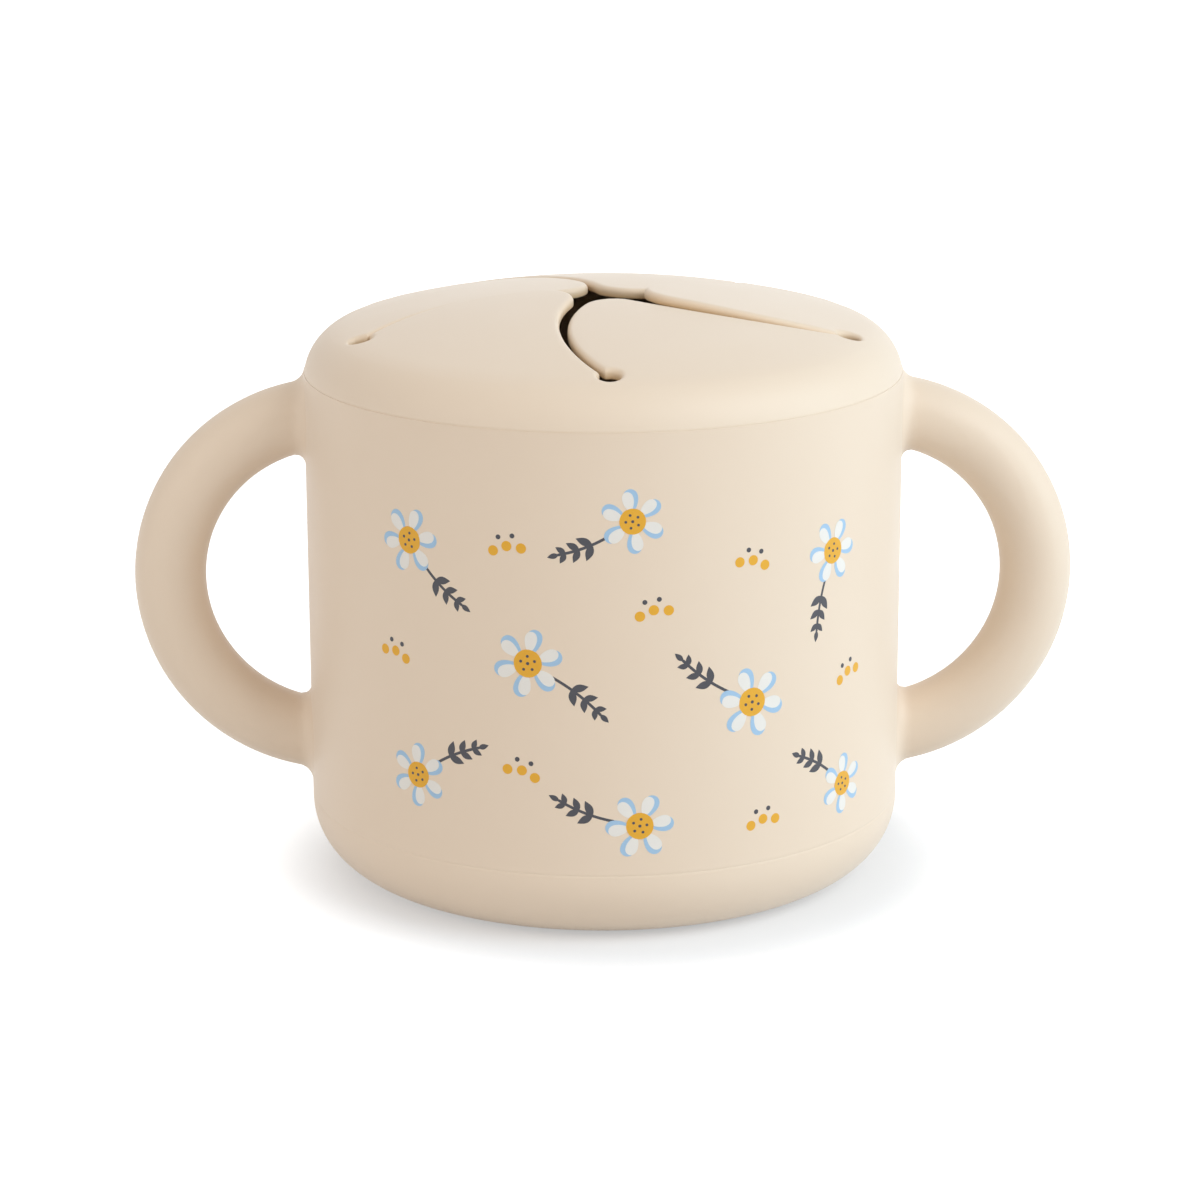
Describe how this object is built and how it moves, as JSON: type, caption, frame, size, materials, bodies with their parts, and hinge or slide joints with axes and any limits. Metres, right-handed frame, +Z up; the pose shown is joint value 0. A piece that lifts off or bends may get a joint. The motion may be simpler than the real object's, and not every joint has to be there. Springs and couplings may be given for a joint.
{
  "type": "toddler snack cup",
  "caption": "Round soft silicone snack cup with two loop handles and a pull-off domed lid slit into spiral flaps that a small hand pushes through.",
  "frame": {"origin": "centre of the cup's foot, on the plane that it stands on", "axes": "+Z up along the cup's axis; +X towards the right handle seen from the printed front; the printed front faces -Y"},
  "size_m": [0.1428, 0.09, 0.0892],
  "materials": {
    "silicone_cup": "matte cream silicone, soft sheen, small print of scattered flowers on the front",
    "silicone_lid": "matte cream silicone, soft sheen"
  },
  "bodies": {
    "cup": {"cup": "silicone_cup"},
    "lid": {"lid_ring": "silicone_lid"},
    "flap_front_right": {"flap_front_right": "silicone_lid"},
    "flap_back_right": {"flap_back_right": "silicone_lid"},
    "flap_back": {"flap_back": "silicone_lid"},
    "flap_back_left": {"flap_back_left": "silicone_lid"},
    "flap_front_left": {"flap_front_left": "silicone_lid"}
  },
  "joints": [
    {"name": "lid_lift", "type": "slide", "parent": "cup", "child": "lid", "axis": [0, 0, 1], "range_m": [0, 0.05]},
    {"name": "front_right_bend", "type": "hinge", "parent": "lid", "child": "flap_front_right", "pos_m": [0.01807, -0.02487, 0.08354], "axis": [0.809, 0.5878, 0], "range_deg": [-65, 40], "stiffness_Nm_per_rad": 0.008},
    {"name": "back_right_bend", "type": "hinge", "parent": "lid", "child": "flap_back_right", "pos_m": [0.02924, 0.0095, 0.08354], "axis": [-0.309, 0.9511, 0], "range_deg": [-65, 40], "stiffness_Nm_per_rad": 0.008},
    {"name": "back_bend", "type": "hinge", "parent": "lid", "child": "flap_back", "pos_m": [0, 0.03074, 0.08354], "axis": [-1, 0, 0], "range_deg": [-65, 40], "stiffness_Nm_per_rad": 0.008},
    {"name": "back_left_bend", "type": "hinge", "parent": "lid", "child": "flap_back_left", "pos_m": [-0.02924, 0.0095, 0.08354], "axis": [-0.309, -0.9511, 0], "range_deg": [-65, 40], "stiffness_Nm_per_rad": 0.008},
    {"name": "front_left_bend", "type": "hinge", "parent": "lid", "child": "flap_front_left", "pos_m": [-0.01807, -0.02487, 0.08354], "axis": [0.809, -0.5878, 0], "range_deg": [-65, 40], "stiffness_Nm_per_rad": 0.008}
  ]
}
